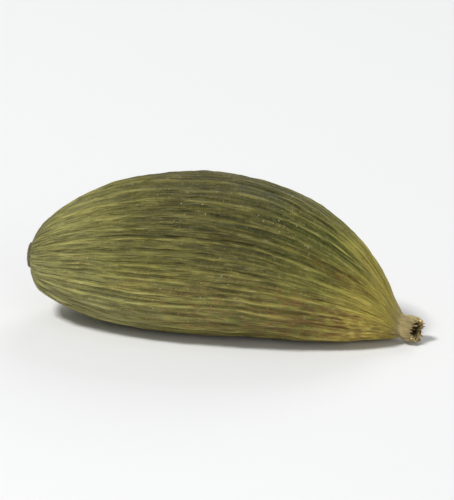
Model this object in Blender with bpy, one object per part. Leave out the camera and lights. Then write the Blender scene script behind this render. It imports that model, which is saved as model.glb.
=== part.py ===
# Green cardamom pod: one closed, dried seed capsule, lying on one of its three faces.
#
# The pod is a single grown piece. A low stalk scar closes the rounded end, a three-sided ribbed husk
# makes the body, and the withered foot of the flower makes a small hollow beak at the narrow end.
#
# Frame: +X runs from the stalk scar to the beak, +Z is up, the surface is Z = 0, and the origin is the
# middle of the pod's bounding box at its base. Metres.

import math
import random

import bmesh
import bpy
import numpy as np

MM = 0.001

# The side and plan outlines, in millimetres: distance from the stalk end, half width, height of the
# underside and height of the top. The underside dips just below the surface where the flat spot is cut.
OUTLINE_MM = (
    (0.00, 0.46, 2.04, 2.92),
    (0.12, 0.60, 1.90, 3.06),
    (0.22, 0.95, 1.58, 3.34),
    (0.56, 1.43, 1.16, 3.80),
    (1.30, 2.02, 0.80, 4.50),
    (2.55, 2.64, 0.42, 5.30),
    (4.20, 3.12, 0.09, 5.98),
    (6.30, 3.42, -0.08, 6.42),
    (8.40, 3.46, -0.09, 6.50),
    (10.4, 3.30, -0.09, 6.22),
    (12.2, 2.92, -0.08, 5.54),
    (13.7, 2.34, -0.03, 4.52),
    (14.8, 1.66, 0.05, 3.36),
    (15.5, 1.10, 0.08, 2.32),
    (15.9, 0.71, 0.12, 1.56),
    (16.2, 0.51, 0.16, 1.14),
    (16.5, 0.58, 0.04, 1.16),
    (16.75, 0.54, 0.08, 1.11),
    (16.88, 0.38, 0.24, 0.95),
)
RING_SPACING = 0.52 * MM
SCAR_END = 0.16 * MM
SCAR_DISH = 0.14 * MM
BEAK_START = 15.6 * MM
BEAK_HOLLOW = 0.60 * MM

# Three blunt corners, one of them on top, and a slight sideways sweep that turns the beak's mouth.
THREE_SIDED = 0.062
THREE_SIDED_GIRTH = (0.6 * MM, 2.7 * MM)
CORNER_ON_TOP = math.radians(90.0)
SIDE_SWEEP = -0.80 * MM
SWEEP_START = 8.0 * MM
MOUTH_TURN = math.radians(22.0)

# Ribs run from scar to beak, a little spirally. They are unequal, and every other one fades out where
# the husk narrows.
RIBS = 36
RIB_HEIGHT = 0.10 * MM
RIB_STRENGTHS = (0.55, 1.25)
RIB_SHIFT = 0.16
RIB_TWIST = math.radians(9.0)
RIB_POINT = 1.3
RIB_GIRTH = (0.35 * MM, 2.2 * MM)
ODD_RIB_GIRTH = (0.9 * MM, 1.9 * MM)
COLUMNS_PER_RIB = 4
RIB_CLEAR_OF_FLAT = (0.02 * MM, 0.34 * MM)

# Drying leaves each face slightly hollow down its middle and the whole husk gently uneven.
FACE_FURROW = 0.10 * MM
FURROW_POINT = 6
DENT_DEPTH = 0.055 * MM
DENT_WAVES = ((2, 1.6), (3, 2.7), (5, 2.1), (7, 3.9))
SEED = 11

HUSK_COLOUR = (0.22, 0.20, 0.065, 1.0)
HUSK_ROUGHNESS = 0.62


def clear_scene():
    for obj in list(bpy.data.objects):
        bpy.data.objects.remove(obj, do_unlink=True)


def smooth_step(low, high, value):
    """0 below low, 1 above high and an S-curve between them."""
    t = np.clip((value - low) / (high - low), 0.0, 1.0)
    return t * t * (3.0 - 2.0 * t)


def outline_rings():
    """Rings of the pod as rows of distance, half width, underside and top, on a curve through the outline."""
    stations = np.array(OUTLINE_MM) * MM
    gaps = np.linalg.norm(np.diff(stations, axis=0), axis=1)
    places = np.concatenate(([0.0], np.cumsum(gaps)))
    slopes = np.gradient(stations, places, axis=0)
    rows = []
    for i, gap in enumerate(gaps):
        count = max(1, round(gap / RING_SPACING))
        for t in np.arange(count) / count:
            rows.append(
                (1 + 2 * t) * (1 - t) ** 2 * stations[i]
                + t * (1 - t) ** 2 * gap * slopes[i]
                + t * t * (3 - 2 * t) * stations[i + 1]
                + t * t * (t - 1) * gap * slopes[i + 1]
            )
    rows.append(stations[-1])
    return np.array(rows)


def rib_layout(rng):
    """The angle of each rib's crest, and its strength, with the first rib repeated one turn on."""
    turn = 2 * math.pi / RIBS
    angles = [turn * (i + rng.uniform(-RIB_SHIFT, RIB_SHIFT)) for i in range(RIBS)]
    strengths = [rng.uniform(*RIB_STRENGTHS) for _ in range(RIBS)]
    angles.append(angles[0] + 2 * math.pi)
    strengths.append(strengths[0])
    return np.array(angles), np.array(strengths)


def rib_relief(places, strengths, girth):
    """How far the ribs raise the husk, for each column's place among the ribs and each ring's half width."""
    wave = 0.5 + 0.5 * np.cos(2 * math.pi * places)
    strength = np.interp(places, np.arange(RIBS + 1), strengths)
    nearest_is_odd = np.round(places).astype(int) % 2 == 1
    fade = np.where(
        nearest_is_odd[None, :],
        smooth_step(*ODD_RIB_GIRTH, girth)[:, None],
        smooth_step(*RIB_GIRTH, girth)[:, None],
    )
    return RIB_HEIGHT * fade * (strength * wave**RIB_POINT)[None, :]


def dent_relief(share, angles, girth, rng):
    """Shallow unevenness: a few slow waves round and along the husk, and a furrow down each face."""
    face_middle = 0.5 - 0.5 * np.cos(3 * (angles - CORNER_ON_TOP))
    relief = -FACE_FURROW * face_middle**FURROW_POINT
    for around, along in DENT_WAVES:
        phase = rng.uniform(0, 2 * math.pi)
        turns = 2 * math.pi * along * share[:, None]
        relief += DENT_DEPTH / len(DENT_WAVES) * np.cos(around * angles + turns + phase)
    return relief * smooth_step(*THREE_SIDED_GIRTH, girth)[:, None]


def smooth_skin(rings, angles):
    """The husk before its relief: a grid of points, ring by ring."""
    distance, half_width, underside, top = (rings[:, i : i + 1] for i in range(4))
    corner = THREE_SIDED * smooth_step(*THREE_SIDED_GIRTH, half_width)
    swell = 1 + corner * np.cos(3 * (angles - CORNER_ON_TOP))
    half_height = (top - underside) / 2
    centre = underside + (1 - corner) * half_height
    sweep = SIDE_SWEEP * np.clip((distance - SWEEP_START) / (distance[-1] - SWEEP_START), 0, None) ** 2
    across = half_width * swell * np.cos(angles)
    x = distance + across * math.tan(MOUTH_TURN) * smooth_step(BEAK_START, distance[-1], distance)
    y = sweep + across
    z = centre + half_height * swell * np.sin(angles)
    return np.stack([x, y, z], axis=2)


def skin_normals(skin):
    """Outward unit normals of the grid, from the steps to neighbouring points."""
    around = np.roll(skin, -1, axis=1) - np.roll(skin, 1, axis=1)
    along = np.gradient(skin, axis=0)
    normal = np.cross(around, along)
    return normal / np.linalg.norm(normal, axis=2, keepdims=True)


def pod_skin():
    """The whole ribbed skin as a grid of points, lying on the surface, and the rings that it was lofted on."""
    rng = random.Random(SEED)
    rings = outline_rings()
    crests, strengths = rib_layout(rng)
    places = np.arange(RIBS * COLUMNS_PER_RIB) / COLUMNS_PER_RIB
    share, girth = rings[:, 0] / rings[-1, 0], rings[:, 1]
    angles = np.interp(places, np.arange(RIBS + 1), crests) + RIB_TWIST * (share[:, None] - 0.5)
    skin = smooth_skin(rings, angles)
    relief = rib_relief(places, strengths, girth) + dent_relief(share, angles, girth, rng)
    relief *= smooth_step(*RIB_CLEAR_OF_FLAT, skin[:, :, 2])
    skin = skin + skin_normals(skin) * relief[:, :, None]
    skin[:, :, 2] = np.maximum(skin[:, :, 2], 0.0)
    return skin, rings


def add_rings(bm, skin, rings):
    """Adds the grid's points. The scar and the beak are slim, so they take every second column."""
    loops = []
    for ring, (distance, *_) in zip(skin, rings):
        step = 1 if SCAR_END < distance < BEAK_START else 2
        loops.append([bm.verts.new(point) for point in ring[::step]])
    return loops


def stitch(bm, first, second):
    """Joins two neighbouring rings. Where one has twice the points, three triangles fill each step."""
    if len(first) == len(second):
        for i in range(len(first)):
            j = (i + 1) % len(first)
            bm.faces.new((first[i], first[j], second[j], second[i]))
        return
    fine, coarse = (first, second) if len(first) > len(second) else (second, first)
    for i in range(len(coarse)):
        j = (i + 1) % len(coarse)
        left, middle, right = fine[2 * i], fine[2 * i + 1], fine[2 * j]
        bm.faces.new((coarse[i], left, middle))
        bm.faces.new((coarse[i], middle, coarse[j]))
        bm.faces.new((coarse[j], middle, right))


def close_end(bm, loop, inward):
    """Fills an end with a fan whose middle is moved along X, into the pod, to make a dish or a hollow."""
    middle = sum((vert.co for vert in loop), start=loop[0].co * 0) / len(loop)
    middle.x += inward
    centre = bm.verts.new(middle)
    for i, vert in enumerate(loop):
        bm.faces.new((vert, loop[(i + 1) % len(loop)], centre))


def centre_on_base(bm):
    """Moves the pod so that the origin is the middle of its bounding box in plan."""
    for axis in (0, 1):
        values = [vert.co[axis] for vert in bm.verts]
        middle = (min(values) + max(values)) / 2
        for vert in bm.verts:
            vert.co[axis] -= middle


def husk_material():
    material = bpy.data.materials.new("husk")
    material.use_nodes = True
    shader = material.node_tree.nodes["Principled BSDF"]
    shader.inputs["Base Color"].default_value = HUSK_COLOUR
    shader.inputs["Roughness"].default_value = HUSK_ROUGHNESS
    shader.inputs["Metallic"].default_value = 0.0
    return material


def make_pod():
    skin, rings = pod_skin()
    bm = bmesh.new()
    loops = add_rings(bm, skin, rings)
    for first, second in zip(loops, loops[1:]):
        stitch(bm, first, second)
    close_end(bm, loops[0], SCAR_DISH)
    close_end(bm, loops[-1], -BEAK_HOLLOW)
    centre_on_base(bm)
    bmesh.ops.recalc_face_normals(bm, faces=bm.faces)
    mesh = bpy.data.meshes.new("pod")
    bm.to_mesh(mesh)
    bm.free()
    mesh.shade_smooth()
    mesh.materials.append(husk_material())
    pod = bpy.data.objects.new("pod", mesh)
    bpy.context.scene.collection.objects.link(pod)
    return pod


def main():
    clear_scene()
    pod = make_pod()
    size = [round(side / MM, 2) for side in pod.dimensions]
    print(f"pod {size} mm, {len(pod.data.polygons)} faces")


main()
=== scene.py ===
# %% [markdown]
# # A dried green cardamom pod
#
# This lesson dresses one cardamom pod: a closed seed capsule, 17 mm long, that lies on one of its three
# faces. The plain solid at its real size comes ready-made, as the frame. Everything below makes what the
# eye sees: the ribbed husk, the torn foot of the flower at the narrow end, the broken fibres of the stalk
# scar and a dusting of pale scurf. Lengths are in metres, +X runs from the scar to the flower's foot, and
# the pod lies on Z = 0.

# %% Load the frame
import math
import random
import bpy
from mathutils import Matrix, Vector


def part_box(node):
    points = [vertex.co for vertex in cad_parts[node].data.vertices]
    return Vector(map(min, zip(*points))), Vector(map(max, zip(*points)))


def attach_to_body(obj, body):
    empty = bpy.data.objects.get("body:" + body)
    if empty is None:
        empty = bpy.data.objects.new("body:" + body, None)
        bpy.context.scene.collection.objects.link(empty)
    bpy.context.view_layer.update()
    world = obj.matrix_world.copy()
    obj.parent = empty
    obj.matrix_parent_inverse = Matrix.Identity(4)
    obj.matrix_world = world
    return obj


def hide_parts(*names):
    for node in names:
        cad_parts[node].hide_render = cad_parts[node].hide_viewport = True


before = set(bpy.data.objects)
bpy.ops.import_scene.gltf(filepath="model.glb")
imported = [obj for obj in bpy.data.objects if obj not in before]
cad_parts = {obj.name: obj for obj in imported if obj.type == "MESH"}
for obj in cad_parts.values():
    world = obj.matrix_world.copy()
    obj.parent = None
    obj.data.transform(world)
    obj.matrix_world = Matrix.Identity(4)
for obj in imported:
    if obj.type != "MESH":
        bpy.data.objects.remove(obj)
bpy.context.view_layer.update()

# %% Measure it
from types import SimpleNamespace

import bpy
import numpy as np
from mathutils import Vector

MM = 0.001
POD_LOW, POD_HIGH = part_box("pod")
print("the pod's box, mm:", [round(side / MM, 2) for side in POD_HIGH - POD_LOW])

# %% [markdown]
# ## Node trees that read like formulas
#
# The husk's ribs and its colours both follow from a few numbers at each point of the skin. Nodes could be
# placed one by one, but then the formula is hard to see. A small class wraps a node's output, so that +, -,
# *, / and ** each add a Math node, and the same words work in Geometry Nodes and in materials.

# %% A field is a node's output


class Field:
    """A node's output. Arithmetic on it adds nodes to the tree."""

    def __init__(self, tree, socket):
        self.tree = tree
        self.socket = socket

    def math(self, operation, *others):
        """One Math node, fed with this field and the others."""
        return add(self.tree, "ShaderNodeMath", dict(enumerate((self, *others))), operation=operation)

    def __add__(self, other):
        return self.math("ADD", other)

    __radd__ = __add__

    def __sub__(self, other):
        return self.math("SUBTRACT", other)

    def __mul__(self, other):
        return self.math("MULTIPLY", other)

    def __truediv__(self, other):
        return self.math("DIVIDE", other)

    def __pow__(self, other):
        return self.math("POWER", other)

    def opposite(self):
        """One minus the field."""
        return self * -1.0 + 1.0

    def step(self, low, high):
        """0 below low, 1 above high and a smooth rise between them. It falls where low is the larger."""
        inputs = {"Value": self, "From Min": low, "From Max": high}
        return add(self.tree, "ShaderNodeMapRange", inputs, interpolation_type="SMOOTHSTEP")


def plug(tree, socket, value):
    """Links a field to a socket, or sets the socket to a plain value."""
    if isinstance(value, Field):
        tree.links.new(value.socket, socket)
    else:
        socket.default_value = value


def add(tree, kind, inputs, output=0, **settings):
    """Adds a node, fills its inputs by name or number, and returns one of its outputs as a field."""
    made = tree.nodes.new(kind)
    for name, value in settings.items():
        setattr(made, name, value)
    for name, value in inputs.items():
        plug(tree, made.inputs[name], value)
    return Field(tree, made.outputs[output])


def also(field, name):
    """Another output of the node that a field comes from."""
    return Field(field.tree, field.socket.node.outputs[name])


# %% Patterns in the skin's own coordinates
# How many finer layers lie over the first one of a noise.
SMOOTH = 1.0
UNEVEN = 2.0
ROUGH = 3.0


def joined(tree, x=0.0, y=0.0, z=0.0):
    """Three numbers or fields as one vector field."""
    return add(tree, "ShaderNodeCombineXYZ", {"X": x, "Y": y, "Z": z})


def parts_of(vector):
    """The three components of a vector field."""
    split = vector.tree.nodes.new("ShaderNodeSeparateXYZ")
    plug(vector.tree, split.inputs[0], vector)
    return [Field(vector.tree, socket) for socket in split.outputs]


def stretch(place, around, along):
    """Divides coordinates, so that one step of a pattern has this size round the pod and along it."""
    step = joined(place.tree, around, around, along)
    return add(place.tree, "ShaderNodeVectorMath", {0: place, 1: step}, operation="DIVIDE")


def noise(vector, detail=SMOOTH):
    """Smooth noise from 0 to 1, mostly near 0.5."""
    return add(vector.tree, "ShaderNodeTexNoise", {"Vector": vector, "Scale": 1.0, "Detail": detail})


def swing(vector, detail=SMOOTH):
    """Smooth noise from -1 to 1."""
    return noise(vector, detail) * 2.0 - 1.0


def thin_lines(vector, sharpness):
    """Fine meandering lines, 1 on the line and 0 off it, where the noise passes its middle value."""
    return swing(vector).math("ABSOLUTE").opposite() ** sharpness


# %% [markdown]
# ## The smooth body
#
# A fresh capsule is a smooth, blunt three-sided spindle, round at the stalk and drawn out to a beak. It
# could be sculpted, but the outline is simple: a half width and two heights at some twenty stations. A
# smooth curve through the stations gives the rings, and a cosine with three humps makes each ring a blunt
# triangle. The same values made the plain solid, so both share one shape.

# %% Stations of the outline, in millimetres
# Distance from the stalk end, half width, height of the underside and height of the top.
OUTLINE_MM = (
    (0.00, 0.46, 2.04, 2.92),
    (0.12, 0.60, 1.90, 3.06),
    (0.22, 0.95, 1.58, 3.34),
    (0.56, 1.43, 1.16, 3.80),
    (1.30, 2.02, 0.80, 4.50),
    (2.55, 2.64, 0.42, 5.30),
    (4.20, 3.12, 0.09, 5.98),
    (6.30, 3.42, -0.08, 6.42),
    (8.40, 3.46, -0.09, 6.50),
    (10.4, 3.30, -0.09, 6.22),
    (12.2, 2.92, -0.08, 5.54),
    (13.7, 2.34, -0.03, 4.52),
    (14.8, 1.66, 0.05, 3.36),
    (15.5, 1.10, 0.08, 2.32),
    (15.9, 0.71, 0.12, 1.56),
    (16.2, 0.51, 0.16, 1.14),
    (16.5, 0.58, 0.04, 1.16),
    (16.75, 0.54, 0.08, 1.11),
    (16.88, 0.44, 0.18, 1.01),
)
# The dished face of the scar, from its middle out to the rim.
SCAR_MM = (
    (0.17, 0.05, 2.44, 2.53),
    (0.16, 0.24, 2.25, 2.72),
    (0.09, 0.34, 2.15, 2.82),
    (0.01, 0.39, 2.10, 2.87),
)
# The wall of the beak's mouth, from its rim back inside.
MOUTH_MM = (
    (16.84, 0.36, 0.26, 0.93),
    (16.65, 0.31, 0.30, 0.88),
    (16.40, 0.28, 0.33, 0.84),
    (16.22, 0.16, 0.45, 0.72),
)
# Where the scar and the body end, and how far apart the rings are on the body and on its two ends.
SCAR_END = 0.2 * MM
BODY_END = 15.4 * MM
BODY_SPACING = 0.115 * MM
END_SPACING = 0.064 * MM

# %% Rings on a smooth curve through the stations


def loft_rings():
    """Rings as rows of distance, half width, underside and top, closer together on the scar and the beak."""
    stations = np.array(SCAR_MM + OUTLINE_MM + MOUTH_MM) * MM
    gaps = np.linalg.norm(np.diff(stations, axis=0), axis=1)
    places = np.concatenate(([0.0], np.cumsum(gaps)))
    slopes = np.gradient(stations, places, axis=0)
    rows = []
    for i, gap in enumerate(gaps):
        spacing = BODY_SPACING if SCAR_END < stations[i, 0] < BODY_END else END_SPACING
        count = max(1, round(gap / spacing))
        for t in np.arange(count) / count:
            rows.append(
                (1 + 2 * t) * (1 - t) ** 2 * stations[i]
                + t * (1 - t) ** 2 * gap * slopes[i]
                + t * t * (3 - 2 * t) * stations[i + 1]
                + t * t * (t - 1) * gap * slopes[i + 1]
            )
    rows.append(stations[-1])
    return np.array(rows)


rings = loft_rings()
print(len(rings), "rings")

# %% [markdown]
# ## Where the ribs run
#
# Thirty-six veins run under the skin from scar to beak, and stand out as ribs when the pod dries. They are
# unevenly spaced and unequal, as on any grown thing, and turn a little on their way. Each could be a curve
# of its own, but thirty-six curves are hard to keep apart. Here each column of points gets a place among
# the ribs, a whole number on a crest, and one formula raises them all. A seeded draw shifts each crest. It
# is the draw that made the solid's ribs, so these lie on top of those.

# %% Lay out the crests
RIBS = 36
COLUMNS_PER_RIB = 11
# How far a crest may shift, in rib spacings, the weakest and the strongest rib, and the turn of them all.
RIB_SHIFT = 0.16
RIB_STRENGTHS = (0.55, 1.25)
RIB_TWIST = math.radians(9.0)
SEED = 11

rng = random.Random(SEED)
crests = [2 * math.pi / RIBS * (i + rng.uniform(-RIB_SHIFT, RIB_SHIFT)) for i in range(RIBS)]
strengths = [rng.uniform(*RIB_STRENGTHS) for _ in range(RIBS)]
crests.append(crests[0] + 2 * math.pi)
strengths.append(strengths[0])

places = np.arange(RIBS * COLUMNS_PER_RIB) / COLUMNS_PER_RIB
share = np.minimum(rings[:, 0] / (OUTLINE_MM[-1][0] * MM), 1.0)[:, None]
angles = np.interp(places, np.arange(RIBS + 1), crests) + RIB_TWIST * (share - 0.5)
print(angles.size, "points, the first crest at", round(math.degrees(crests[0]), 1), "degrees")

# %% Bend the rings into a three-sided body
# How far the three corners stand out, and the half widths between which they set in.
THREE_SIDED = 0.062
THREE_SIDED_GIRTH = (0.6 * MM, 2.7 * MM)
CORNER_ON_TOP = math.radians(90.0)
# How far the narrow end leans to one side, and from where, and how its mouth turns.
SIDE_SWEEP = -0.80 * MM
SWEEP_START = 8.0 * MM
BEAK_START = 15.6 * MM
RIM = OUTLINE_MM[-1][0] * MM
MOUTH_TURN = math.radians(22.0)


def smooth_step(low, high, value):
    """0 below low, 1 above high and an S-curve between them."""
    t = np.clip((value - low) / (high - low), 0.0, 1.0)
    return t * t * (3.0 - 2.0 * t)


def body_skin():
    """The body as a grid of points, ring by ring. The beak leans to one side and turns its mouth with it."""
    distance, half_width, underside, top = (rings[:, i : i + 1] for i in range(4))
    corner = THREE_SIDED * smooth_step(*THREE_SIDED_GIRTH, half_width)
    swell = 1 + corner * np.cos(3 * (angles - CORNER_ON_TOP))
    half_height = (top - underside) / 2
    centre = underside + (1 - corner) * half_height
    sweep = SIDE_SWEEP * np.clip((distance - SWEEP_START) / (RIM - SWEEP_START), 0, None) ** 2
    across = half_width * swell * np.cos(angles)
    x = distance + across * math.tan(MOUTH_TURN) * smooth_step(BEAK_START, RIM, distance)
    y = sweep + across
    z = centre + half_height * swell * np.sin(angles)
    return np.stack([x, y, z], axis=2)


# %% Press the dents of drying into it
# The furrow's depth, and the power that narrows it.
FACE_FURROW = 0.10 * MM
FURROW_POINT = 6
# The depth of all the waves together, and the number of each round the pod and along it.
DENT_DEPTH = 0.055 * MM
DENT_WAVES = ((2, 1.6), (3, 2.7), (5, 2.1), (7, 3.9))
# The heights between which relief sets in. Below them the flat spot stays flat.
CLEAR_OF_FLAT = (0.02 * MM, 0.34 * MM)


def dent_relief():
    """Slow waves round and along the husk, and a furrow down the middle of each face."""
    face_middle = 0.5 - 0.5 * np.cos(3 * (angles - CORNER_ON_TOP))
    relief = -FACE_FURROW * face_middle**FURROW_POINT
    for around, along in DENT_WAVES:
        phase = rng.uniform(0, 2 * math.pi)
        wave = np.cos(around * angles + 2 * math.pi * along * share + phase)
        relief += DENT_DEPTH / len(DENT_WAVES) * wave
    return relief * smooth_step(*THREE_SIDED_GIRTH, rings[:, 1:2])


def skin_normals(skin):
    """Outward unit normals of the grid, from the steps to neighbouring points."""
    normal = np.cross(np.roll(skin, -1, axis=1) - np.roll(skin, 1, axis=1), np.gradient(skin, axis=0))
    return normal / np.linalg.norm(normal, axis=2, keepdims=True)


skin = body_skin()
dents = dent_relief() * smooth_step(*CLEAR_OF_FLAT, skin[:, :, 2])
skin += skin_normals(skin) * dents[:, :, None]
skin[:, :, 0] += POD_LOW.x
skin[:, :, 1] -= (skin[:, :, 1].min() + skin[:, :, 1].max()) / 2
print("the smooth body's height, mm:", round(skin[:, :, 2].max() / MM, 2))

# %% [markdown]
# ## From grid to mesh
#
# The grid becomes a closed mesh, with a fan over the scar and one at the bottom of the mouth. Patterns must
# follow the skin. A UV map could lead them, but it needs a seam. So each point stores numbers of its own as
# attributes: how far the rib there is shifted from even spacing, how strong it is, the ring's half width
# and distance, how deep the point lies in the mouth, and its grain coordinates, which lay the skin round a
# cylinder. Noise read in grain coordinates runs along the pod and meets itself without a seam.

# %% Give each point its own numbers
GRAIN_RADIUS_MM = 3.3

# How far along the skin each ring lies, and each point's turn without the twist of the ribs.
run = np.cumsum(np.hypot(*np.diff(rings[:, :2], axis=0, prepend=rings[:1, :2]).T)) / MM
turn = angles - RIB_TWIST * (share - 0.5)
grain = np.stack(
    [
        GRAIN_RADIUS_MM * np.cos(turn),
        GRAIN_RADIUS_MM * np.sin(turn),
        run[:, None] + np.zeros_like(turn),
    ],
    axis=2,
)
rim_ring = int(np.argmax(rings[:, 0]))
inside = smooth_step(rim_ring, len(rings) - 1, np.arange(len(rings)))


def per_ring(values):
    """Repeats one value for each ring over all its points."""
    return np.repeat(values, angles.shape[1])


def per_column(values):
    """Repeats one value for each column over all the rings."""
    return np.tile(values, angles.shape[0])


numbers = {
    "shift": per_column(places - turn[0] * RIBS / (2 * math.pi)),
    "strength": per_column(np.interp(places, np.arange(RIBS + 1), strengths)),
    "girth": per_ring(rings[:, 1] / MM),
    "distance": per_ring(rings[:, 0] / MM),
    "inside": per_ring(inside),
}
print("stored at each point:", ", ".join(numbers), "and grain")

# %% Build the closed mesh


def grid_faces(rows, columns):
    """Quads between neighbouring rings, and a fan at each end round one extra point."""
    first, last = rows * columns, rows * columns + 1
    faces = []
    for i in range(columns):
        j = (i + 1) % columns
        faces += [(r * columns + i, r * columns + j, (r + 1) * columns + j, (r + 1) * columns + i)
                  for r in range(rows - 1)]
        faces.append((first, j, i))
        faces.append((last, (rows - 1) * columns + i, (rows - 1) * columns + j))
    return faces


def body_mesh():
    """The closed body, with its numbers stored as point attributes."""
    rows, columns = angles.shape
    ends = [skin[0].mean(axis=0), skin[-1].mean(axis=0)]
    mesh = bpy.data.meshes.new("body")
    mesh.from_pydata(np.vstack([skin.reshape(-1, 3), ends]), [], grid_faces(rows, columns))
    for name, values in numbers.items():
        values = np.append(values, [values[0], values[-1]])
        mesh.attributes.new(name, "FLOAT", "POINT").data.foreach_set("value", values)
    axis = [(0, 0, grain[0, 0, 2]), (0, 0, grain[-1, 0, 2])]
    values = np.vstack([grain.reshape(-1, 3), axis])
    mesh.attributes.new("grain", "FLOAT_VECTOR", "POINT").data.foreach_set("vector", values.ravel())
    return mesh


body = bpy.data.objects.new("body", body_mesh())
bpy.context.scene.collection.objects.link(body)
print(len(body.data.polygons), "faces in the smooth body")

# %% [markdown]
# ## The husk's colour
#
# A dried husk isn't one green. It is olive, greyer at the stalk, straw yellow towards the beak and tan on
# the withered foot of the flower. The thin crests of the ribs are bleached and rubbed, and their pale colour
# is also a painted highlight of the light they catch. The dark between them is partly dirt and partly
# painted shade. An image texture could hold all this, but it would blur this close. Here every layer is a
# mask that mixes one named colour over the others, read from the skin's own numbers, so it is sharp at any
# distance.

# %% Name the colours
# The curve by which a screen brightens linear values.
SCREEN_TOP = 255
SCREEN_OFFSET = 0.055
SCREEN_POWER = 2.4


def colour(red, green, blue):
    """A colour as a screen shows it, from 0 to 255, turned into the linear values that materials use."""
    shown = [value / SCREEN_TOP for value in (red, green, blue)]
    linear = [((value + SCREEN_OFFSET) / (1.0 + SCREEN_OFFSET)) ** SCREEN_POWER for value in shown]
    return (*linear, 1.0)


OLIVE = colour(132, 131, 54)
DEEP_OLIVE = colour(80, 78, 34)
LEAF_GREEN = colour(88, 98, 32)
GREY_OLIVE = colour(158, 155, 102)
STRAW = colour(236, 214, 100)
CREST_STRAW = colour(184, 174, 90)
RUSSET = colour(147, 110, 58)
ORANGE_BROWN = colour(142, 96, 40)
TAN = colour(240, 217, 150)
BARK_BROWN = colour(88, 64, 38)
CORK_GREY = colour(166, 152, 116)
HOLLOW_BROWN = colour(88, 66, 42)
SCURF_CREAM = colour(190, 182, 138)
# The tone that is multiplied in for painted shade and for dark dashes.
DUSK = colour(140, 134, 118)
print("olive in linear values:", [round(value, 3) for value in OLIVE[:3]])


def number(tree, name):
    """One of the numbers that the mesh stores, as a field of a material."""
    return add(tree, "ShaderNodeAttribute", {}, output="Fac", attribute_name=name)


def grain_of(tree):
    """The grain coordinates, as a field of a material."""
    return add(tree, "ShaderNodeAttribute", {}, output="Vector", attribute_name="grain")


def mixed(base, over, mask, blend="MIX"):
    """One colour laid over another where the mask is 1, or multiplied into it."""
    # A Mix node has sockets A, B and Result for each kind of value. For colours they are 6, 7 and 2.
    inputs = {0: mask, 6: base, 7: over}
    return add(mask.tree, "ShaderNodeMix", inputs, output=2, data_type="RGBA", blend_type=blend)


# %% Find the ribs from the grain
# How far a rib wanders, in rib spacings, and the size of its bends round the pod and along it.
RIB_WANDER = 0.45
WANDER_MM = (2.4, 3.6)
# How far apart two lines are in the noise that fades them, how long a fade is and how deep.
LANE_STEP = 5.37
LANE_LENGTH_MM = 2.6
FADE_RANGE = (0.30, 0.68)
FAINTEST = 0.13
# The half widths, in millimetres, between which the ribs rise. Every other one starts further on.
RIB_GIRTH_MM = (0.35, 2.2)
ODD_RIB_GIRTH_MM = (0.9, 1.9)


def fickle(lane, along):
    """How strong one line is on its way along the pod. It fades and comes back, and each lane differs."""
    way = joined(lane.tree, lane * LANE_STEP, along / LANE_LENGTH_MM)
    return noise(way, detail=UNEVEN).step(*FADE_RANGE) * (1.0 - FAINTEST) + FAINTEST


def rib_lines(grain, shift, girth, sharpness):
    """Ribs, the fainter veins midway between them, and valleys, for the mesh and the material alike."""
    x, y, along = parts_of(grain)
    place = y.math("ARCTAN2", x) * (RIBS / (2 * math.pi)) + shift
    place = place + swing(stretch(grain, *WANDER_MM)) * RIB_WANDER
    wave = (place * (2 * math.pi)).math("COSINE") * 0.5 + 0.5
    rib = place.math("ROUND").math("FLOORED_MODULO", RIBS)
    gap = place.math("FLOOR").math("FLOORED_MODULO", RIBS)
    even, odd = girth.step(*RIB_GIRTH_MM), girth.step(*ODD_RIB_GIRTH_MM)
    fade = even + (odd - even) * rib.math("FLOORED_MODULO", 2.0)
    return SimpleNamespace(
        ribs=wave**sharpness * fade * fickle(rib, along),
        veins=wave.opposite() ** sharpness * odd * fickle(gap + 0.5, along),
        valley=wave.opposite(),
    )


print("a rib every", round(2 * math.pi * GRAIN_RADIUS_MM / RIBS, 2), "mm round the middle")


# %% Measure out the husk's patterns
# How far one step of each pattern reaches across the pod and along it, in millimetres.
PATTERN_MM = {
    "hairs": (0.075, 1.1),
    "pebbles": (0.07, 0.10),
    "crepe": (0.40, 0.15),
    "flecks": (0.13, 0.22),
    "dashes": (0.17, 0.80),
    "mottle": (0.30, 0.42),
    "stains": (0.8, 1.6),
    "fibres": (0.36, 5.0),
    "streaks": (0.9, 9.0),
    "clouds": (2.6, 4.0),
}
STRAND_MM = (0.50, 4.5)
THREAD_MM = (0.17, 1.7)
# How narrow each kind of line is, and how much of the crepe climbs the ribs.
CREST_SHARPNESS = 8.0
STRAND_SHARPNESS = 7.0
THREAD_SHARPNESS = 6.0
CREPE_ON_CRESTS = 0.2
# How high each pattern stands in the skin's finest relief, in millimetres.
HEIGHT_MM = {
    "ribs": 0.080,
    "veins": 0.058,
    "strands": 0.035,
    "threads": 0.060,
    "hairs": 0.110,
    "pebbles": 0.030,
    "crepe": 0.110,
}
print(len(PATTERN_MM), "patterns, the finest", min(PATTERN_MM.values())[0], "mm wide")

# %% Draw them


def husk_patterns(tree):
    """The patterns of the husk, each from 0 to 1, and the finest relief that they make, in millimetres."""
    grain = grain_of(tree)
    noises = {name: noise(stretch(grain, *size), detail=ROUGH) for name, size in PATTERN_MM.items()}
    has = SimpleNamespace(**noises)
    lines = rib_lines(grain, number(tree, "shift"), number(tree, "girth"), CREST_SHARPNESS)
    has.ribs, has.veins, has.valley = lines.ribs, lines.veins, lines.valley
    has.strands = thin_lines(stretch(grain, *STRAND_MM), STRAND_SHARPNESS)
    has.threads = thin_lines(stretch(grain, *THREAD_MM), THREAD_SHARPNESS)
    has.crepe = has.crepe * (lines.valley + CREPE_ON_CRESTS)
    has.relief = sum(getattr(has, name) * height for name, height in HEIGHT_MM.items())
    return has
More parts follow.
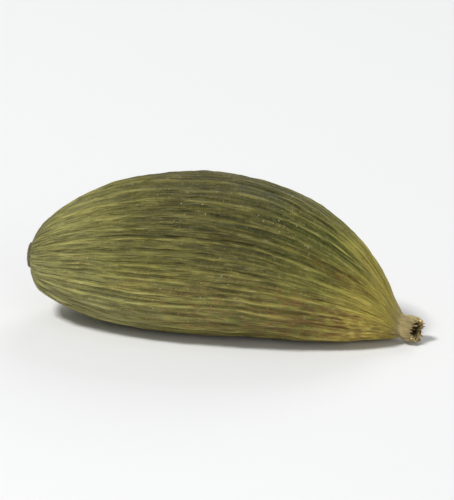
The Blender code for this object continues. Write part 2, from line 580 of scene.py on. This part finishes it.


# %% [markdown]
# ## Where the colours lie
#
# The stalk end is grey and the beak end yellow, and the side that the pod lies on is stained brown. The
# upper side is darkest, partly its own deeper green and partly painted shade, and painted shade also dims
# the middle of the pod. The underside near the stalk is paler, partly its own greyer tone and partly
# painted light from below. The regions could be painted on by hand, but a painted border is hard to move.
# Each is a mask instead: a smooth step between two distances from the stalk end, or between two heights.
# Noise is added to the distance first, so that no border runs straight round the pod. Four single patches
# on the near side have a place and a size of their own.

# %% Mark out the regions
# The distances from the stalk end, in millimetres, between which each region sets in or fades out.
STALK_MM = (6.0, 0.6)
WAIST_START_MM = (1.6, 6.6)
WAIST_END_MM = (14.0, 10.0)
BELLY_MM = (10.0, 3.0)
STAINED_MM = (4.0, 8.0)
YELLOWING_MM = (13.5, 16.3)
YELLOW_RAGGED_MM = 3.0
YELLOW_LATER_ON_TOP_MM = 1.3
BEAK_MM = (16.0, 16.5)
BEAK_RAGGED_MM = 0.5
# The half widths, in millimetres, between which the scar's ring and its face set in.
RING_GIRTH_MM = (0.95, 0.65)
RING_RAGGED_MM = 0.3
FACE_GIRTH_MM = (0.50, 0.40)
FACE_RAGGED_MM = 0.2
SCAR_ONLY_MM = (1.0, 0.6)
# The heights between which each region sets in, from -1 underneath to 1 on top.
TOP = (-0.4, 0.8)
UPPER_SIDE = (-0.2, 0.7)
BELLY_SIDE = (0.1, -0.7)
LOWER_SIDE = (0.4, -0.4)
BELOW_TOP = (0.9, -0.2)
# How deep the hollow's brown sets in, from 0 at the rim to 1 at the bottom. The brown is partly the withered
# tube's own colour and partly painted shade that deepens into the mouth.
HOLLOW = (0.02, 0.3)
# Single patches: turn in degrees, and distance, width and length in millimetres.
GREEN_PATCH = (116.0, 13.0, 2.3, 3.4)
DARK_PATCH = (174.0, 11.2, 1.5, 2.6)
RUSSET_PATCH = (199.0, 14.7, 2.1, 3.2)
ORANGE_STREAK = (145.0, 15.7, 0.70, 2.0)
PATCH_RAGGED_MM = (0.35, 1.3)
PATCH_EDGE = (1.0, 0.25)
print("the yellow sets in", YELLOWING_MM[0], "mm from the stalk end, and is full at", YELLOWING_MM[1])

# %% Make their masks


def patch(grain, turn, along, width, length):
    """A ragged patch round one place on the skin."""
    turn = math.radians(turn)
    place = (GRAIN_RADIUS_MM * math.cos(turn), GRAIN_RADIUS_MM * math.sin(turn), along)
    centred = add(grain.tree, "ShaderNodeVectorMath", {0: grain, 1: place}, operation="SUBTRACT")
    sized = stretch(centred, width, length)
    away = add(grain.tree, "ShaderNodeVectorMath", {0: sized}, output="Value", operation="LENGTH")
    return (away + swing(stretch(grain, *PATCH_RAGGED_MM), detail=ROUGH)).step(*PATCH_EDGE)


def husk_regions(tree, has):
    """Masks for the regions of the husk, the beak and the scar. Up is -1 underneath and 1 on top."""
    grain, distance, girth = grain_of(tree), number(tree, "distance"), number(tree, "girth")
    up = parts_of(grain)[1] / GRAIN_RADIUS_MM
    waist = distance.step(*WAIST_START_MM) * distance.step(*WAIST_END_MM)
    yellowing = distance + has.streaks * YELLOW_RAGGED_MM - up.step(*UPPER_SIDE) * YELLOW_LATER_ON_TOP_MM
    scar_end = distance.step(*SCAR_ONLY_MM)
    return SimpleNamespace(
        stalk_end=distance.step(*STALK_MM),
        waist=waist,
        back=up.step(*TOP) * waist,
        belly=up.step(*BELLY_SIDE) * distance.step(*BELLY_MM),
        stained=up.step(*LOWER_SIDE) * distance.step(*STAINED_MM),
        below_top=up.step(*BELOW_TOP),
        yellowing=yellowing.step(*YELLOWING_MM),
        beak=(distance + has.fibres * BEAK_RAGGED_MM).step(*BEAK_MM),
        scar_ring=(girth + has.stains * RING_RAGGED_MM).step(*RING_GIRTH_MM) * scar_end,
        scar_face=(girth + has.flecks * FACE_RAGGED_MM).step(*FACE_GIRTH_MM) * scar_end,
        hollow=number(tree, "inside").step(*HOLLOW),
        green_patch=patch(grain, *GREEN_PATCH),
        dark_patch=patch(grain, *DARK_PATCH),
        russet_patch=patch(grain, *RUSSET_PATCH),
        orange_streak=patch(grain, *ORANGE_STREAK),
    )


# %% Mix the husk's colour
# How much of a pattern shows: the values of its noise between which it sets in, at the peaks or the dips.
MOST_PEAKS = (0.36, 0.60)
HALF_OF_PEAKS = (0.48, 0.66)
HIGH_PEAKS = (0.58, 0.74)
SHARP_PEAKS = (0.62, 0.72)
MOST_DIPS = (0.62, 0.34)
LOW_DIPS = (0.46, 0.30)
# How pale each kind of crest stays between its dashes or hairs.
RIBS_BETWEEN = 0.5
VEINS_BETWEEN = 0.4
STRANDS_BETWEEN = 0.3
# Where the painted fine shade sets in, from 0 on a rib to 1 between two, and from high relief to low.
VALLEY = (0.30, 0.90)
LOW_RELIEF_MM = (0.16, 0.09)
# How much of the painted fine shade, and of the dark dashes, is lost where the husk is yellow.
PALER_IN_YELLOW = 0.6


def husk_colour(tree, has):
    """The husk's colour in layers. Each is a colour, where it lies and how strongly."""
    on = husk_regions(tree, has)
    layers = (
        (DEEP_OLIVE, has.fibres.step(*MOST_DIPS), 0.32),
        (DEEP_OLIVE, has.streaks.step(*HALF_OF_PEAKS), 0.12),
        (LEAF_GREEN, has.clouds.step(*HALF_OF_PEAKS), 0.55),
        (GREY_OLIVE, on.stalk_end, 0.70),
        # Paler underside near the stalk: partly its own greyer tone, partly painted light from below.
        (GREY_OLIVE, on.belly, 0.60),
        # Darker upper side: partly its own deeper green, partly painted shade. More painted shade is
        # multiplied in below.
        (DEEP_OLIVE, on.back, 0.50),
        (LEAF_GREEN, on.green_patch, 0.48),
        (DEEP_OLIVE, on.dark_patch, 0.42),
        (STRAW, on.yellowing, 0.96),
        (RUSSET, on.stained * has.mottle.step(*MOST_PEAKS), 0.55),
        (RUSSET, on.below_top * has.stains.step(*HIGH_PEAKS), 0.60),
        (RUSSET, on.russet_patch * has.mottle.step(*MOST_PEAKS), 0.85),
        (ORANGE_BROWN, on.orange_streak * has.mottle.step(*MOST_PEAKS), 0.64),
        # Pale crests: bleached and rubbed, and partly a painted highlight where they catch the light.
        (CREST_STRAW, has.ribs * (has.dashes + RIBS_BETWEEN), 0.68),
        (CREST_STRAW, has.veins * (has.dashes + VEINS_BETWEEN), 0.52),
        (CREST_STRAW, has.strands * (has.hairs + STRANDS_BETWEEN), 0.30),
        (CREST_STRAW, has.dashes.step(*LOW_DIPS), 0.42),
        # Pale flecks: partly scurf, partly painted glints.
        (SCURF_CREAM, has.flecks.step(*SHARP_PEAKS), 0.50),
        (TAN, on.beak, 1.0),
        (BARK_BROWN, on.beak * has.stains.step(*HALF_OF_PEAKS), 0.30),
        (CORK_GREY, on.scar_ring, 0.80),
        (BARK_BROWN, on.scar_face, 1.0),
        (HOLLOW_BROWN, on.hollow, 1.0),
    )
    tint = OLIVE
    for over, where, strength in layers:
        tint = mixed(tint, over, where * strength)
    on_green = on.yellowing * -PALER_IN_YELLOW + 1.0
    # Multiplied in: painted shade over the upper side and the middle of the pod, between the ribs and where
    # the relief is low, and dark dashes that are the husk's own marks.
    painted_shade_and_dashes = (
        (on.back, 0.50),
        (on.waist, 0.16),
        (has.dashes.step(*HALF_OF_PEAKS) * on_green, 0.34),
        (has.valley.step(*VALLEY) * on_green, 0.30),
        (has.relief.step(*LOW_RELIEF_MM) * on_green, 0.60),
    )
    for where, strength in painted_shade_and_dashes:
        tint = mixed(tint, DUSK, where * strength, "MULTIPLY")
    return tint


# %% Finish the husk's material
HUSK_ROUGHNESS = 0.60
CREST_ROUGHNESS = 0.38
HUSK_SPECULAR = 0.36


def husk_material():
    """Dry fibrous husk: matt, with a faint waxy gloss on the rubbed crests."""
    material = bpy.data.materials.new("dry husk")
    material.use_nodes = True
    tree = material.node_tree
    shader = tree.nodes["Principled BSDF"]
    has = husk_patterns(tree)
    rough = has.ribs * (CREST_ROUGHNESS - HUSK_ROUGHNESS) + HUSK_ROUGHNESS
    bump = {"Strength": 1.0, "Distance": MM, "Height": has.relief}
    plug(tree, shader.inputs["Base Color"], husk_colour(tree, has))
    plug(tree, shader.inputs["Roughness"], rough)
    plug(tree, shader.inputs["Normal"], add(tree, "ShaderNodeBump", bump))
    shader.inputs["Specular IOR Level"].default_value = HUSK_SPECULAR
    return material


dry_husk = husk_material()
print(len(dry_husk.node_tree.nodes), "nodes in the husk's material")

# %% [markdown]
# ## Ribs, threads and puckers
#
# Close up, the husk has ribs, a fainter vein midway between each two, thin strands and threads that wander
# between them, and puckers where the soft skin of a valley has shrunk. Sculpting them would take days, and
# a displacement image would need a seam. Geometry Nodes raise each point along its normal by a formula of
# its attributes. The ribs come from the same function as their colour, so the two can't drift apart. The
# sizes are named inputs, in millimetres, so each kind of relief can be turned up or down by itself.

# %% Start a tree, and run one


def new_tree(name, sizes):
    """A Geometry Nodes tree with a geometry input and output, and a named input for each size."""
    tree = bpy.data.node_groups.new(name, "GeometryNodeTree")
    tree.interface.new_socket("Geometry", in_out="INPUT", socket_type="NodeSocketGeometry")
    tree.interface.new_socket("Geometry", in_out="OUTPUT", socket_type="NodeSocketGeometry")
    for label, value in sizes.items():
        kind = "NodeSocketInt" if isinstance(value, int) else "NodeSocketFloat"
        tree.interface.new_socket(label, in_out="INPUT", socket_type=kind)
    group = tree.nodes.new("NodeGroupInput")
    return tree, {socket.name: Field(tree, socket) for socket in group.outputs if socket.name}


def finish_tree(geometry, material):
    """Ends a tree: smooth shading, real geometry instead of instances, and the material."""
    tree = geometry.tree
    geometry = add(tree, "GeometryNodeRealizeInstances", {"Geometry": geometry})
    geometry = add(tree, "GeometryNodeSetShadeSmooth", {"Geometry": geometry})
    geometry = add(tree, "GeometryNodeSetMaterial", {"Geometry": geometry, "Material": material})
    plug(tree, tree.nodes.new("NodeGroupOutput").inputs["Geometry"], geometry)


def grow(name, source, tree, sizes):
    """Runs a tree on a mesh and returns the result as a plain mesh object of its own."""
    host = bpy.data.objects.new(name, source.data.copy())
    bpy.context.scene.collection.objects.link(host)
    modifier = host.modifiers.new(tree.name, "NODES")
    modifier.node_group = tree
    for item in tree.interface.items_tree:
        if item.in_out == "INPUT" and item.name in sizes:
            modifier[item.identifier] = sizes[item.name]
    depsgraph = bpy.context.evaluated_depsgraph_get()
    grown = bpy.data.meshes.new_from_object(
        host.evaluated_get(depsgraph), preserve_all_data_layers=True, depsgraph=depsgraph
    )
    host.modifiers.remove(modifier)
    host.data = grown
    grown.name = name
    print(name, "has", sum(len(face.vertices) - 2 for face in grown.polygons), "triangles")
    return host


# %% Write the relief's formula
# Every size is in millimetres.
RELIEF = {
    "Rib Height": 0.096,
    "Vein Height": 0.053,
    "Strand Height": 0.052,
    "Thread Height": 0.030,
    "Thread Width": 0.34,
    "Thread Length": 2.6,
    "Pucker Height": 0.034,
    "Pucker Width": 0.60,
    "Pucker Length": 0.34,
    "Lump Height": 0.040,
    "Lump Size": 1.9,
    "Pleat Height": 0.045,
    "Pleat Width": 1.1,
    "Pleat Length": 2.2,
    "Scar Height": 0.10,
    "Grit Size": 0.11,
    "Rag Length": 0.16,
    "Rag Width": 0.9,
}
# How narrow each kind of line is. They are broader here than in the colour.
RIB_SHARPNESS = 3.2
BROAD_STRAND_SHARPNESS = 3.5
BROAD_THREAD_SHARPNESS = 5.0
# The half widths between which the fine relief sets in, and the distances of what the ends have instead.
BODY_GIRTH_MM = (0.55, 1.5)
PLEATED_MM = (15.7, 16.3)
SCAR_FACE_MM = (0.12, 0.03)
TORN_MM = (16.4, 16.85)
# Where a noise tears the rim, and a length along which it hardly changes.
TEARS = (0.35, 0.7)
ALL_ALONG_MM = 40.0


def stored(tree, name, kind="FLOAT"):
    """One of the mesh's own attributes, as a field of a Geometry Nodes tree."""
    return add(tree, "GeometryNodeInputNamedAttribute", {"Name": name}, data_type=kind)


def fine_relief(size, grain, lines):
    """Veins, strands and threads between the ribs, puckers across the valleys, and lumps, in millimetres."""
    strands = thin_lines(stretch(grain, *STRAND_MM), BROAD_STRAND_SHARPNESS)
    threads = thin_lines(stretch(grain, size["Thread Width"], size["Thread Length"]), BROAD_THREAD_SHARPNESS)
    pucker = swing(stretch(grain, size["Pucker Width"], size["Pucker Length"]), detail=UNEVEN)
    lump = swing(stretch(grain, size["Lump Size"], size["Lump Size"]), detail=UNEVEN)
    return (
        lines.veins * size["Vein Height"]
        + strands * size["Strand Height"]
        + threads * size["Thread Height"]
        + pucker * lines.valley * size["Pucker Height"]
        + lump * size["Lump Height"]
    )


# %% Wrinkle the beak and roughen the scar


def end_relief(size, grain, position, distance):
    """Pleats round the beak and grit on the face of the scar, in millimetres."""
    pleats = swing(stretch(grain, size["Pleat Width"], size["Pleat Length"]), detail=UNEVEN)
    grit_size = size["Grit Size"] * MM
    grit = noise(stretch(position, grit_size, grit_size), detail=UNEVEN)
    return (
        pleats * distance.step(*PLEATED_MM) * size["Pleat Height"]
        + grit * distance.step(*SCAR_FACE_MM) * size["Scar Height"]
    )


def torn_rim(size, grain, distance):
    """How far the rim of the beak is torn back, as a vector."""
    torn = noise(stretch(grain, size["Rag Width"], ALL_ALONG_MM), detail=ROUGH).step(*TEARS)
    return joined(grain.tree, torn * distance.step(*TORN_MM) * size["Rag Length"] * -MM)


# %% Raise the relief


def relief_tree():
    """Moves each point out along its normal, tears the rim and keeps the pod above Z = 0."""
    tree, size = new_tree("ribs and wrinkles", RELIEF)
    grain = stored(tree, "grain", "FLOAT_VECTOR")
    distance, girth = stored(tree, "distance"), stored(tree, "girth")
    position = add(tree, "GeometryNodeInputPosition", {})
    x, y, z = parts_of(position)
    lines = rib_lines(grain, stored(tree, "shift"), girth, RIB_SHARPNESS)
    relief = lines.ribs * stored(tree, "strength") * size["Rib Height"]
    relief = relief + fine_relief(size, grain, lines) * girth.step(*BODY_GIRTH_MM)
    relief = relief + end_relief(size, grain, position, distance)
    relief = relief * z.step(*CLEAR_OF_FLAT)
    normal = add(tree, "GeometryNodeInputNormal", {})
    raised = add(tree, "ShaderNodeVectorMath", {0: normal, "Scale": relief * MM}, operation="SCALE")
    moves = {0: raised, 1: torn_rim(size, grain, distance)}
    offset = add(tree, "ShaderNodeVectorMath", moves, operation="ADD")
    geometry = add(tree, "GeometryNodeSetPosition", {"Geometry": size["Geometry"], "Offset": offset})
    above_floor = {"Geometry": geometry, "Position": joined(tree, x, y, z.math("MAXIMUM", 0.0))}
    geometry = add(tree, "GeometryNodeSetPosition", above_floor)
    finish_tree(geometry, dry_husk)
    return tree


husk = grow("husk", body, relief_tree(), RELIEF)
bpy.data.objects.remove(body)
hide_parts("pod")

# %% Every piece rides on the one body


def attach(piece):
    """Makes a piece part of the pod."""
    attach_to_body(piece, "root")


attach(husk)

# %% [markdown]
# ## Stuff for the small pieces
#
# Broken fibre, withered petal and scurf are all dry, matt plant stuff, mottled between a darker and a paler
# tone. They could share the husk's material, but its grain and regions mean nothing on them. One function
# makes a simpler one from two colours. It reads Object coordinates, since the pieces are too small for a
# grain of their own.

# %% Dry plant stuff
MOTTLE = 0.09 * MM
MOTTLE_RANGE = (0.36, 0.64)
MOTTLE_DEPTH = 0.008 * MM
DRY_ROUGHNESS = 0.75
DRY_SPECULAR = 0.25


def dry_stuff(name, dark, pale):
    """A matt dry material, mottled between two colours."""
    material = bpy.data.materials.new(name)
    material.use_nodes = True
    tree = material.node_tree
    shader = tree.nodes["Principled BSDF"]
    place = also(add(tree, "ShaderNodeTexCoord", {}), "Object")
    mottle = noise(stretch(place, MOTTLE, MOTTLE), detail=ROUGH)
    bump = {"Strength": 1.0, "Distance": MOTTLE_DEPTH, "Height": mottle}
    plug(tree, shader.inputs["Base Color"], mixed(dark, pale, mottle.step(*MOTTLE_RANGE)))
    plug(tree, shader.inputs["Normal"], add(tree, "ShaderNodeBump", bump))
    shader.inputs["Roughness"].default_value = DRY_ROUGHNESS
    shader.inputs["Specular IOR Level"].default_value = DRY_SPECULAR
    return material


# %% [markdown]
# ## Broken fibres on the scar
#
# Where the pod was picked, the veins of its stalk broke off. They are left as a patch of short, uneven
# stumps. Hair particles could make them, but hair has no closed surface. Each is a slim cone with few
# sides instead, and Geometry Nodes spread nearly seventy of them over the scar, never closer than a set
# distance, with a length and a lean of their own drawn from a fixed seed.

# %% Scatter on the husk, with a draw for each point
TRIES_PER_POINT = 2.0


def drawn(tree, low, high, seed):
    """A random number for each point, from a fixed seed."""
    # The node has sockets Min, Max and Value for each kind of value. For plain numbers they are 2, 3 and 1.
    inputs = {2: low, 3: high, "Seed": seed}
    return add(tree, "FunctionNodeRandomValue", inputs, output=1, data_type="FLOAT")


def scattered(tree, skin_mesh, chosen, apart, seed):
    """Points on the chosen part of a mesh, no closer together than a distance in millimetres."""
    inputs = {
        "Mesh": skin_mesh,
        "Distance Min": apart * MM,
        "Density Max": (apart * MM) ** -2.0 * TRIES_PER_POINT,
        "Density Factor": chosen,
        "Seed": seed,
    }
    return add(tree, "GeometryNodeDistributePointsOnFaces", inputs, distribute_method="POISSON")


def planted(points, shape, rotation, scale):
    """A copy of the shape on each point."""
    inputs = {"Points": points, "Instance": shape, "Rotation": rotation, "Scale": scale}
    return add(points.tree, "GeometryNodeInstanceOnPoints", inputs)


# %% Grow the stumps
# Lengths in millimetres, and the lean in radians.
STUMPS = {
    "Apart": 0.066,
    "Radius": 0.028,
    "Length": 0.12,
    "Lean": 0.45,
    "Seed": 3,
}
STUMP_SIDES = 6
STUMP_TAPER = 0.55
# The half widths and the distances between which the scar's face ends.
STUMPS_GIRTH_MM = (0.40, 0.34)
STUMPS_DISTANCE_MM = (0.5, 0.3)
# The range of each draw, and its seed.
STUMP_LEAN_X = (-1.0, 1.0, 21)
STUMP_LEAN_Y = (-1.0, 1.0, 22)
STUMP_THICK_X = (0.6, 1.3, 23)
STUMP_THICK_Y = (0.6, 1.3, 24)
STUMP_LONG = (0.35, 1.35, 25)


def stump_tree():
    """Short cones, standing on the scar and leaning every way."""
    tree, size = new_tree("scar stumps", STUMPS)
    on_face = stored(tree, "girth").step(*STUMPS_GIRTH_MM)
    on_scar = on_face * stored(tree, "distance").step(*STUMPS_DISTANCE_MM)
    points = scattered(tree, size["Geometry"], on_scar, size["Apart"], size["Seed"])
    cone = {
        "Vertices": STUMP_SIDES,
        "Radius Top": size["Radius"] * (STUMP_TAPER * MM),
        "Radius Bottom": size["Radius"] * MM,
        "Depth": size["Length"] * MM,
    }
    stump = add(tree, "GeometryNodeMeshCone", cone)
    lean_x, lean_y = drawn(tree, *STUMP_LEAN_X), drawn(tree, *STUMP_LEAN_Y)
    lean = joined(tree, lean_x * size["Lean"], lean_y * size["Lean"])
    turned = {"Rotation": also(points, "Rotation"), "Rotate By": lean}
    rotation = add(tree, "FunctionNodeRotateRotation", turned, rotation_space="LOCAL")
    scale = joined(tree, *(drawn(tree, *draw) for draw in (STUMP_THICK_X, STUMP_THICK_Y, STUMP_LONG)))
    stumps = planted(points, stump, rotation, scale)
    finish_tree(stumps, dry_stuff("broken fibre", BARK_BROWN, CORK_GREY))
    return tree


scar_fibres = grow("scar_fibres", husk, stump_tree(), STUMPS)
attach(scar_fibres)

# %% [markdown]
# ## Shreds of the withered flower
#
# The beak is the foot of the flower's tube. Its rim is torn, and a few stiff shreds of petal still stand on
# it. They could be pulled out of the rim's own rings, but those are too coarse for points so thin. Each is a
# flat strip instead, swept along a short curve that bends outwards, and narrowed to a point. They stand in
# a ring on the rim, with uneven gaps, leans, widths and lengths.

# %% Find the mouth
MOUTH_RADIUS = 0.40 * MM
SHRED_ROOT = 0.12 * MM
at_rim = np.abs(rings[:, 0] - RIM) < END_SPACING / 2
MOUTH_MIDDLE = skin[at_rim].reshape(-1, 3).mean(axis=0)
print("the middle of the mouth, mm:", (MOUTH_MIDDLE / MM).round(2))

# %% Grow the shreds
# Lengths in millimetres. The flare is a share of the length.
SHREDS = {
    "Count": 14,
    "Length": 0.24,
    "Width": 0.20,
    "Thickness": 0.024,
    "Flare": 0.40,
    "Seed": 5,
}
SHRED_STEPS = 7
# How far up a strip bends, as a share of its length, and how it narrows.
SHRED_BEND = 0.55
TAPER_POWER = 2.4
TIP_WIDTH = 0.15
UNEVEN_TURN = math.radians(9.0)
# The range of each draw, and its seed.
SHRED_FLARE = (0.5, 1.4, 31)
SHRED_WIDE = (0.6, 1.5, 32)
SHRED_LONG = (0.55, 1.2, 33)
SHRED_LEAN = (-0.30, 0.15, 34)


def shred_points(tree, size):
    """Points in an uneven ring round the mouth, and the outward turn of each as a rotation."""
    turn = add(tree, "GeometryNodeInputIndex", {}) * (2 * math.pi) / size["Count"]
    turn = turn + drawn(tree, -UNEVEN_TURN, UNEVEN_TURN, size["Seed"])
    across, up = turn.math("COSINE"), turn.math("SINE")
    place = joined(
        tree,
        across * (MOUTH_RADIUS * math.tan(MOUTH_TURN)) + (MOUTH_MIDDLE[0] - SHRED_ROOT),
        across * MOUTH_RADIUS + MOUTH_MIDDLE[1],
        up * MOUTH_RADIUS + MOUTH_MIDDLE[2],
    )
    forward = (math.cos(MOUTH_TURN), -math.sin(MOUTH_TURN), 0.0)
    axes = {"Primary Axis": forward, "Secondary Axis": joined(tree, y=across, z=up)}
    outward = add(tree, "FunctionNodeAxesToRotation", axes, primary_axis="Z", secondary_axis="X")
    turned = {"Rotation": outward, "Rotate By": joined(tree, y=drawn(tree, *SHRED_LEAN))}
    rotation = add(tree, "FunctionNodeRotateRotation", turned, rotation_space="LOCAL")
    return add(tree, "GeometryNodePoints", {"Count": size["Count"], "Position": place}), rotation


def shred_tree():
    """Pointed strips in a ring, each bent outwards at its tip."""
    tree, size = new_tree("flower shreds", SHREDS)
    length = size["Length"] * MM
    curve = {
        "Resolution": SHRED_STEPS,
        "Start": (0.0, 0.0, 0.0),
        "Middle": joined(tree, z=length * SHRED_BEND),
        "End": joined(tree, x=length * size["Flare"], z=length),
    }
    curve = add(tree, "GeometryNodeCurveQuadraticBezier", curve)
    strip = {"Width": size["Thickness"] * MM, "Height": size["Width"] * MM}
    strip = add(tree, "GeometryNodeCurvePrimitiveQuadrilateral", strip)
    narrowing = (add(tree, "GeometryNodeSplineParameter", {}) ** TAPER_POWER).opposite()
    narrowing = narrowing * (1.0 - TIP_WIDTH) + TIP_WIDTH
    sweep = {"Curve": curve, "Profile Curve": strip, "Scale": narrowing, "Fill Caps": True}
    shred = add(tree, "GeometryNodeCurveToMesh", sweep)
    points, rotation = shred_points(tree, size)
    scale = joined(tree, *(drawn(tree, *draw) for draw in (SHRED_FLARE, SHRED_WIDE, SHRED_LONG)))
    shreds = planted(points, shred, rotation, scale)
    finish_tree(shreds, dry_stuff("withered petal", BARK_BROWN, TAN))
    return tree


flower_shreds = grow("flower_shreds", husk, shred_tree(), SHREDS)
attach(flower_shreds)

# %% [markdown]
# ## Scurf
#
# Flakes of dried skin and dust cling to the husk in drifts, as tiny pale specks. Painted dots would vanish
# when the light is low, so these are real grains: flattened balls with twenty faces each, spread over the
# sides and the top by Geometry Nodes, thick where a slow noise is high.

# %% Scatter the scurf
# Lengths in millimetres. The flatness is a grain's thickness as a share of its breadth.
SCURF = {
    "Apart": 0.26,
    "Drift Size": 2.4,
    "Radius": 0.027,
    "Flatness": 0.60,
    "Seed": 8,
}
BALL_SUBDIVISIONS = 1
# Where a noise gathers the scurf, and the heights and distances between which it sets in and ends.
DRIFT_RANGE = (0.46, 0.72)
SCURF_HEIGHT_MM = (0.5, 1.4)
SCURF_END_MM = (15.6, 14.4)
# The range of each draw, and its seed.
GRAIN_TURN = (0.0, 2 * math.pi, 41)
GRAIN_BREADTH = (0.35, 1.0, 42)
GRAIN_STRETCH = (0.8, 1.9, 43)


def scurf_tree():
    """Flattened grains in drifts on the husk, clear of the underside and the beak."""
    tree, size = new_tree("scurf", SCURF)
    grain = stored(tree, "grain", "FLOAT_VECTOR")
    height = parts_of(add(tree, "GeometryNodeInputPosition", {}))[2] / MM
    drift = noise(stretch(grain, size["Drift Size"], size["Drift Size"]), detail=UNEVEN).step(*DRIFT_RANGE)
    chosen = drift * height.step(*SCURF_HEIGHT_MM) * stored(tree, "distance").step(*SCURF_END_MM)
    points = scattered(tree, size["Geometry"], chosen, size["Apart"], size["Seed"])
    ball = {"Radius": size["Radius"] * MM, "Subdivisions": BALL_SUBDIVISIONS}
    ball = add(tree, "GeometryNodeMeshIcoSphere", ball)
    turn = joined(tree, z=drawn(tree, *GRAIN_TURN))
    turned = {"Rotation": also(points, "Rotation"), "Rotate By": turn}
    rotation = add(tree, "FunctionNodeRotateRotation", turned, rotation_space="LOCAL")
    breadth = drawn(tree, *GRAIN_BREADTH)
    scale = joined(tree, breadth * drawn(tree, *GRAIN_STRETCH), breadth, breadth * size["Flatness"])
    grains = planted(points, ball, rotation, scale)
    finish_tree(grains, dry_stuff("scurf", GREY_OLIVE, SCURF_CREAM))
    return tree


scurf = grow("scurf", husk, scurf_tree(), SCURF)
attach(scurf)

# %% [markdown]
# ## Floor, light and camera
#
# The pod is shown on a plain pale floor in soft light. A sun lamp would do, but it gives hard, even shadows.
# Three area lamps stand within half a metre instead. The key lamp is small, so that its light rakes over
# the ribs, and a broad fill lamp and back lamp soften its shadows.

# %% Floor
FLOOR_SIZE = 3.0
FLOOR_DROP = 0.02 * MM
FLOOR_COLOUR = (0.83, 0.83, 0.82, 1.0)
FLOOR_ROUGHNESS = 0.9


def floor_material():
    """A plain, matt, pale floor."""
    material = bpy.data.materials.new("pale floor")
    material.use_nodes = True
    shader = material.node_tree.nodes["Principled BSDF"]
    shader.inputs["Base Color"].default_value = FLOOR_COLOUR
    shader.inputs["Roughness"].default_value = FLOOR_ROUGHNESS
    return material


half = FLOOR_SIZE / 2
corners = [(-half, -half, 0), (half, -half, 0), (half, half, 0), (-half, half, 0)]
floor_mesh = bpy.data.meshes.new("floor")
floor_mesh.from_pydata(corners, [], [(0, 1, 2, 3)])
floor_mesh.materials.append(floor_material())
floor = bpy.data.objects.new("floor", floor_mesh)
floor.location.z = -FLOOR_DROP
bpy.context.scene.collection.objects.link(floor)

# %% Light
# Each lamp's name, place and width in metres, and power in watts.
LIGHTS = (
    ("key", (-0.17, -0.14, 0.32), 0.08, 1.25),
    ("fill", (0.26, -0.28, 0.12), 0.30, 0.40),
    ("back", (0.06, 0.30, 0.20), 0.20, 0.34),
)
ROOM_COLOUR = (0.92, 0.95, 1.0, 1.0)
ROOM_STRENGTH = 0.27


def aim(obj, place, target):
    """Puts an object at a place and turns its -Z axis to a target."""
    obj.location = place
    obj.rotation_mode = "QUATERNION"
    obj.rotation_quaternion = (target - obj.location).to_track_quat("-Z", "Y")


middle = (POD_LOW + POD_HIGH) / 2
for name, place, size, power in LIGHTS:
    lamp = bpy.data.lights.new(name, "AREA")
    lamp.size = size
    lamp.energy = power
    lamp_object = bpy.data.objects.new(name, lamp)
    bpy.context.scene.collection.objects.link(lamp_object)
    aim(lamp_object, place, middle)
    print(name, "lamp at", round((lamp_object.location - middle).length, 2), "m")

world = bpy.data.worlds.new("soft room")
world.use_nodes = True
background = world.node_tree.nodes["Background"]
background.inputs["Color"].default_value = ROOM_COLOUR
background.inputs["Strength"].default_value = ROOM_STRENGTH
bpy.context.scene.world = world
bpy.context.scene.view_settings.view_transform = "Standard"

# %% Camera
AZIMUTH = math.radians(11.0)
ELEVATION = math.radians(20.0)
CAMERA_DISTANCE = 0.30
FRAME_HEIGHT_PX = 500
FRAME_WIDTH_PX = 454
FRAME_WIDTH = 19.2 * MM
SENSOR_MM = 36.0
NEAREST_SEEN = 0.01

camera = bpy.data.cameras.new("camera")
camera.sensor_width = SENSOR_MM
camera.lens = SENSOR_MM * CAMERA_DISTANCE / (FRAME_WIDTH * FRAME_HEIGHT_PX / FRAME_WIDTH_PX)
camera.clip_start = NEAREST_SEEN
camera_object = bpy.data.objects.new("camera", camera)
bpy.context.scene.collection.objects.link(camera_object)
sight = Vector((
    math.sin(AZIMUTH) * math.cos(ELEVATION),
    -math.cos(AZIMUTH) * math.cos(ELEVATION),
    math.sin(ELEVATION),
))
aim(camera_object, middle + sight * CAMERA_DISTANCE, middle)
bpy.context.scene.camera = camera_object
print("lens, mm:", round(camera.lens))
